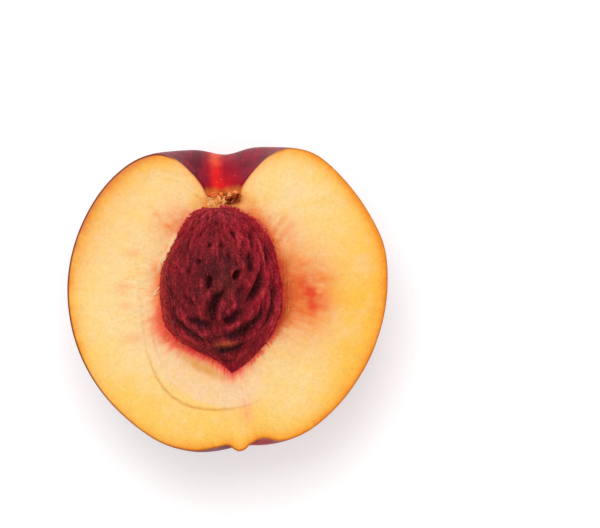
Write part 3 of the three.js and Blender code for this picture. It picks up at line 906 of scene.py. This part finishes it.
def left_fringe(material):
    """Short fibres along the left side of the stone."""
    count = LEFT_STRANDS
    heights = drawn(-1.5, 13.5, count)
    lines = fringe_lines(heights, 0, drawn(0.5, 1.4, count), 0.15, 1.3, 0.9)
    tints = picked([BLUSH_ORANGE, BLUSH_PINK, FIBRE_PALE, FRINGE_PINK], count)
    return strands("left_fringe", lines, drawn(0.04, 0.09, count), tints, material)


def left_hairs(material):
    """A few pale hairs that stand out from the stone's left side."""
    count = len(LEFT_HAIRS)
    flat = np.stack([even_spline(line, ALONG_STRAND[0]) for line in LEFT_HAIRS])
    lines = raised(flat, 0.25 + 0.3 * np.sin(np.pi * ALONG_STRAND))
    tints = 1.2 * picked([FIBRE_PALE, FLESH_PALE], count)
    return strands("left_hairs", lines, drawn(0.09, 0.12, count), tints, material)


def fringe_pieces():
    """Fibres that the flesh and the stone tore off each other."""
    material = fibre_material("flesh_fibre")
    heights = drawn(-15.8, -1.5, LOWER_LEFT_STRANDS)
    lengths = drawn(0.7, 2.4, LOWER_LEFT_STRANDS) * (0.6 + 0.6 * bump(heights + 8.5, 4.5))
    lower_left = lower_fringe("lower_left_fringe", heights, 0, lengths, 0.12, material)
    heights = drawn(-16, -9, LOWER_RIGHT_STRANDS)
    lengths = drawn(0.7, 1.8, LOWER_RIGHT_STRANDS)
    lower_right = lower_fringe("lower_right_fringe", heights, math.pi, lengths, 0.11, material)
    return [lower_left, lower_right, right_threads(material), left_fringe(material),
            left_hairs(material)]


def torn_strands(name, count, spread, heading, length, radius, depth, colours):
    """Short torn strands about a place: spread is [x from, to, y from, to], heading a turn and
    how far it varies, and depth how far they lie below the cut face."""
    share = np.linspace(-0.5, 0.5, STRAND_POINTS)[None, :]
    x, y = drawn(spread[0], spread[1], count), drawn(spread[2], spread[3], count)
    angle = drawn(heading[0] - heading[1], heading[0] + heading[1], count)[:, None]
    angle = angle + drawn(-0.9, 0.9, count)[:, None] * share * 2
    away = drawn(*length, count)[:, None] * share
    high = -drawn(*depth, count)[:, None] - drawn(0.2, 1.2, count)[:, None] * share ** 2
    lines = np.stack([
        x[:, None] + away * np.cos(angle), y[:, None] + away * np.sin(angle), high,
    ], axis=-1)
    return strands(name, lines, drawn(*radius, count), picked(colours, count),
                   fibre_material(name))


def stem_pieces():
    """What the stem left torn between its scar and the stone."""
    across, along = 0.0, math.pi / 2
    return [
        torn_strands("scar_fibres", 60, (-3.2, 3.2, 19.7, 20.8), (across, 0.4), (0.9, 2.2),
                     (0.16, 0.34), (0.9, 1.7), [FIBRE_GOLD, FIBRE_TAN, FIBRE_BROWN, SKIN_ORANGE]),
        torn_strands("pale_torn_flesh", 70, (-4.0, 0.4, 17.6, 19.7), (along + 0.25, 0.6), (0.9, 2.0),
                     (0.14, 0.34), (0.0, 0.3), [FIBRE_TAN, FIBRE_TAN, BLUSH_PINK, FIBRE_GOLD]),
        torn_strands("torn_hollow_fibres", 50, (0.4, 3.8, 17.8, 20.2), (along - 0.5, 0.9), (0.7, 1.9),
                     (0.1, 0.26), (0.4, 1.2), [HOLE_BROWN, SKIN_EDGE, FIBRE_BROWN, FIBRE_BROWN]),
    ]


def tuft_pieces():
    """Short tufts of stone fibre that break the stone's outline, longest at its stem end."""
    count = UPPER_RIGHT_THREADS
    lines = fringe_lines(drawn(8.0, 17.2, count), math.pi, drawn(0.4, 1.3, count), 0.4, 2.4, 1.6)
    lines[..., 2] += 0.25
    tints = picked([FRINGE_PINK, FRINGE_RED, STONE_FUZZ_AND_GLINT], count)
    pieces = [strands("upper_right_threads", lines, drawn(0.03, 0.065, count), tints,
                      fibre_material("thread"))]
    for name, turn, count in (
            ("left_tufts", 0, LEFT_TUFTS), ("right_tufts", math.pi, RIGHT_TUFTS)):
        side_heights = drawn(-14.0, 17.2, count)
        top_heights = TOP_TUFT_HEIGHT - 0.9 * drawn(0, 1, TOP_TUFTS) ** 2
        heights = np.concatenate([side_heights, top_heights])
        count = len(heights)
        longer = 1 + 0.8 * rise(12, 16.5, heights) + 0.4 * bump(heights - 7, 4)
        lengths = drawn(0.2, 0.5, count) * longer
        lines = fringe_lines(heights, turn, lengths, 0.3, 0.9, 0.5)
        lines[..., 2] += 0.1
        tints = picked([STONE_HIGH, STONE_MID, STONE_HIGH, STONE_FUZZ_AND_GLINT], count)
        pieces.append(strands(name, lines, drawn(0.07, 0.17, count), tints,
                              fibre_material(name)))
    return pieces


def stone_fibres():
    """Fine fuzz on the stone, thickest towards its edge."""
    count = FUZZ_STRANDS
    along, turn = drawn(0.03, 0.97, count), drawn(0.0, np.pi, count)
    edge = np.abs(np.cos(turn)) ** 1.5 + rise(0.35, 0.1, along)
    kept = drawn(0, 1, count) < 0.25 + 0.75 * edge
    along, turn = along[kept], turn[kept]
    count = len(along)
    share = ALONG_STRAND
    step = drawn(-0.04, 0.04, count)[:, None]
    twist = drawn(-0.025, 0.025, count)[:, None]
    curl = drawn(-0.03, 0.03, count)[:, None]
    along = np.clip(along[:, None] + step * share, 0.005, 0.995)
    turn = np.clip(turn[:, None] + twist * share + curl * share ** 2, 0, np.pi)
    points, cut, _ = stone_relief(along, turn, STONE_FACE_SEED)
    lines = pushed_out(points, drawn(0.02, 0.1, count)[:, None] * np.sin(np.pi * share) + 0.01)
    tints = picked([STONE_HIGH, STONE_HIGH, STONE_MID, STONE_FUZZ_AND_GLINT], count)
    tints = tinted(tints, STONE_MID, 0.6 * rise(0.4, 0.8, np.abs(np.sin(turn))))
    # Painted shade: fibres in the furrows are darker.
    tints = tinted(tints, STONE_DEEP, 0.9 * rise(0.1, 0.7, cut))
    return [strands("stone_fuzz", lines, drawn(0.03, 0.06, count), tints,
                    fibre_material("stone_fibre"))]


# Materials. Noise scales are per metre, and bump distances are metres.
SKIN_CLOUD = (*srgb(70, 8, 24), 1.0)
SKIN_DOT = (*srgb(214, 120, 104), 1.0)
SKIN_DULL_HEIGHT = 0.029  # metres above the flat spot, just below the rim
SKIN_GLOSSY_HEIGHT = 0.017


class Shader:
    """A material with a Principled shader, and short calls to add nodes to it."""

    def __init__(self, name, **values):
        self.material = bpy.data.materials.new(name)
        self.material.use_nodes = True
        self.nodes = self.material.node_tree.nodes
        self.links = self.material.node_tree.links
        self.surface(**values)

    def surface(self, **values):
        """Sets or links the Principled shader's own sockets."""
        for socket, value in values.items():
            self.put(value, self.nodes["Principled BSDF"].inputs[socket.replace("_", " ")])

    def add(self, kind, settings=None, **inputs):
        node = self.nodes.new(kind)
        for key, value in (settings or {}).items():
            setattr(node, key, value)
        for socket, value in inputs.items():
            self.put(value, node.inputs[socket.replace("_", " ")])
        return node

    def put(self, value, socket):
        if isinstance(value, bpy.types.NodeSocket):
            self.links.new(value, socket)
        else:
            socket.default_value = value

    def where(self):
        return self.add("ShaderNodeTexCoord").outputs["Object"]

    def tint(self):
        """The colour that the mesh holds at each point."""
        return self.add("ShaderNodeAttribute", {"attribute_name": "tint"}).outputs["Color"]

    def noise(self, where, scale, detail=4.0, roughness=0.5):
        node = self.add("ShaderNodeTexNoise", Vector=where, Scale=scale, Detail=detail,
                        Roughness=roughness)
        return node.outputs["Fac"]

    def spread(self, value, low, high, start=0.0, end=1.0):
        """A value from start to end spread between two others."""
        node = self.add("ShaderNodeMapRange", Value=value, From_Min=start, From_Max=end,
                        To_Min=low, To_Max=high)
        return node.outputs["Result"]

    def mix(self, share, first, second, blend="MIX"):
        node = self.add("ShaderNodeMix", {"data_type": "RGBA", "blend_type": blend})
        self.put(share, node.inputs[0])
        self.put(first, node.inputs[6])
        self.put(second, node.inputs[7])
        return node.outputs[2]

    def times(self, colour, factor, blue_factor=None):
        """A colour times a factor, with another factor for its blue if one is given."""
        blue = factor if blue_factor is None else blue_factor
        factors = self.add("ShaderNodeCombineColor", Red=factor, Green=factor, Blue=blue)
        return self.mix(1.0, colour, factors.outputs[0], "MULTIPLY")

    def bump(self, height, strength, distance, normal=None):
        node = self.add("ShaderNodeBump", Height=height, Strength=strength, Distance=distance)
        if normal is not None:
            self.put(normal, node.inputs["Normal"])
        return node.outputs["Normal"]


def flesh_material():
    """Wet cut flesh, with a fine grain over the painted tint."""
    shader = Shader("nectarine_flesh", Roughness=0.42, Subsurface_Weight=0.12,
                    Subsurface_Radius=(1.0, 0.45, 0.15), Subsurface_Scale=0.002,
                    Specular_IOR_Level=0.18)
    where = shader.where()
    grain = shader.noise(where, 1700.0, 5.0, 0.6)
    cells = shader.noise(where, 2600.0, 2.0)
    colour = shader.times(shader.tint(), shader.spread(grain, 0.84, 1.16),
                          shader.spread(grain, 0.68, 1.32))
    normal = shader.bump(cells, 0.35, 0.0001, shader.bump(grain, 0.5, 0.0003))
    shader.surface(Base_Color=colour, Roughness=shader.spread(grain, 0.34, 0.54), Normal=normal)
    return shader.material


def skin_material():
    """Smooth nectarine skin, with small pale dots and a gloss that grows down the back."""
    shader = Shader("nectarine_skin", Roughness=0.34, Specular_IOR_Level=0.02,
                    Coat_Roughness=0.2)
    where = shader.where()
    height = shader.add("ShaderNodeSeparateXYZ", Vector=where).outputs["Z"]
    gloss = shader.spread(height, 0.05, 0.45, SKIN_DULL_HEIGHT, SKIN_GLOSSY_HEIGHT)
    mottle = shader.noise(where, 420.0, 4.0, 0.6)
    colour = shader.mix(shader.spread(mottle, -0.25, 0.65), shader.tint(), SKIN_CLOUD)
    cells = shader.add("ShaderNodeTexVoronoi", Vector=where, Scale=620.0)
    dots = shader.spread(cells.outputs["Distance"], 0.5, 0.0, 0.07, 0.13)
    colour = shader.mix(dots, colour, SKIN_DOT)
    ripple = shader.noise(where, 160.0, 3.0)
    normal = shader.bump(mottle, 0.2, 0.00006, shader.bump(ripple, 0.25, 0.0003))
    shader.surface(Base_Color=colour, Coat_Weight=gloss, Normal=normal,
                   Roughness=shader.spread(mottle, 0.3, 0.46))
    return shader.material


def stone_material():
    """Moist, woody stone."""
    shader = Shader("nectarine_stone", Roughness=0.6, Specular_IOR_Level=0.1)
    where = shader.where()
    drawn_out = shader.add("ShaderNodeVectorMath", {"operation": "MULTIPLY"})
    shader.put(where, drawn_out.inputs[0])
    drawn_out.inputs[1].default_value = (1.0, 0.6, 1.0)
    wood = shader.noise(drawn_out.outputs[0], 1900.0, 5.0, 0.7)
    colour = shader.times(shader.tint(), shader.spread(wood, 0.3, 1.7))
    # Painted glints: small pale pink dots mixed into the colour.
    glint = shader.spread(shader.noise(where, 5200.0, 1.0), 0.0, 0.5, 0.6, 0.75)
    colour = shader.mix(glint, colour, (*STONE_FUZZ_AND_GLINT, 1.0))
    speckle = shader.spread(shader.noise(where, 3100.0, 3.0, 0.8), 0.72, 1.26, 0.4, 0.62)
    shader.surface(Base_Color=shader.times(colour, speckle), Normal=shader.bump(wood, 0.8, 0.0004),
                   Roughness=shader.spread(wood, 0.38, 0.68))
    return shader.material


def fibre_material(name):
    """Moist fibres, a little lighter and darker along their length."""
    shader = Shader(name, Roughness=0.5, Specular_IOR_Level=0.08)
    fleck = shader.spread(shader.noise(shader.where(), 2200.0, 3.0), 0.85, 1.15)
    shader.surface(Base_Color=shader.times(shader.tint(), fleck))
    return shader.material


# Camera, lights and floor.
CAMERA_TILT = math.radians(3.6)  # the half leans a little in the photograph
CAMERA_DISTANCE = 700  # above the cut face
CAMERA_AIM = (15.6, 4.6)  # where the view's middle meets the cut face
VIEW_WIDTH = 127.7  # how much of the cut plane the view takes in
ROOM_BRIGHTNESS = 0.765
LIGHT_PLACE = (-0.04, 0.3, 0.74)  # in metres, as are the other sizes of the room
LIGHT_AIM = (0, 0, 0.02)
LIGHT_SIZE = 0.4
LIGHT_POWER = 2.1
FLOOR_SIZE = 4
FLOOR_HEIGHT = -0.0002  # clear of the flat spot


def camera():
    """A camera that looks straight down on the cut face."""
    data = bpy.data.cameras.new("camera")
    data.sensor_width = 36
    data.lens = data.sensor_width * CAMERA_DISTANCE / VIEW_WIDTH
    data.clip_start = 0.01
    view = bpy.data.objects.new("camera", data)
    view.location = Vector(placed([(*CAMERA_AIM, CAMERA_DISTANCE)])[0])
    view.rotation_euler = (0, 0, -CAMERA_TILT)
    bpy.context.scene.collection.objects.link(view)
    bpy.context.scene.camera = view


def soft_light():
    """A square soft light at the upper left, aimed at the fruit."""
    data = bpy.data.lights.new("key", "AREA")
    data.size = LIGHT_SIZE
    data.energy = LIGHT_POWER
    light = bpy.data.objects.new("key", data)
    light.location = LIGHT_PLACE
    away = Vector(LIGHT_AIM) - Vector(LIGHT_PLACE)
    light.rotation_euler = away.to_track_quat("-Z", "Y").to_euler()
    bpy.context.scene.collection.objects.link(light)


def studio():
    """A white floor and room, with one soft light."""
    scene = bpy.context.scene
    scene.view_settings.view_transform = "Standard"
    world = bpy.data.worlds.new("room")
    world.use_nodes = True
    background = world.node_tree.nodes["Background"].inputs
    background["Color"].default_value = (1.0, 1.0, 1.0, 1.0)
    background["Strength"].default_value = ROOM_BRIGHTNESS
    scene.world = world
    soft_light()
    bpy.ops.mesh.primitive_plane_add(size=FLOOR_SIZE, location=(0, 0, FLOOR_HEIGHT))
    floor = bpy.context.object
    floor.name = "floor"
    shader = Shader("white_floor", Base_Color=(0.98, 0.98, 0.98, 1.0), Roughness=0.7,
                    Specular_IOR_Level=0.2, Emission_Color=(1.0, 0.985, 0.98, 1.0),
                    Emission_Strength=0.2)
    floor.data.materials.append(shader.material)


studio()
camera()
half = fruit()
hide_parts("fruit_half")
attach(half, "root")
pit = stone()
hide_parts("stone")
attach(pit, "root")
random.seed(7)
for piece in fringe_pieces() + stem_pieces():
    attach(piece, "root")
for piece in tuft_pieces() + stone_fibres():
    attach(piece, "root")
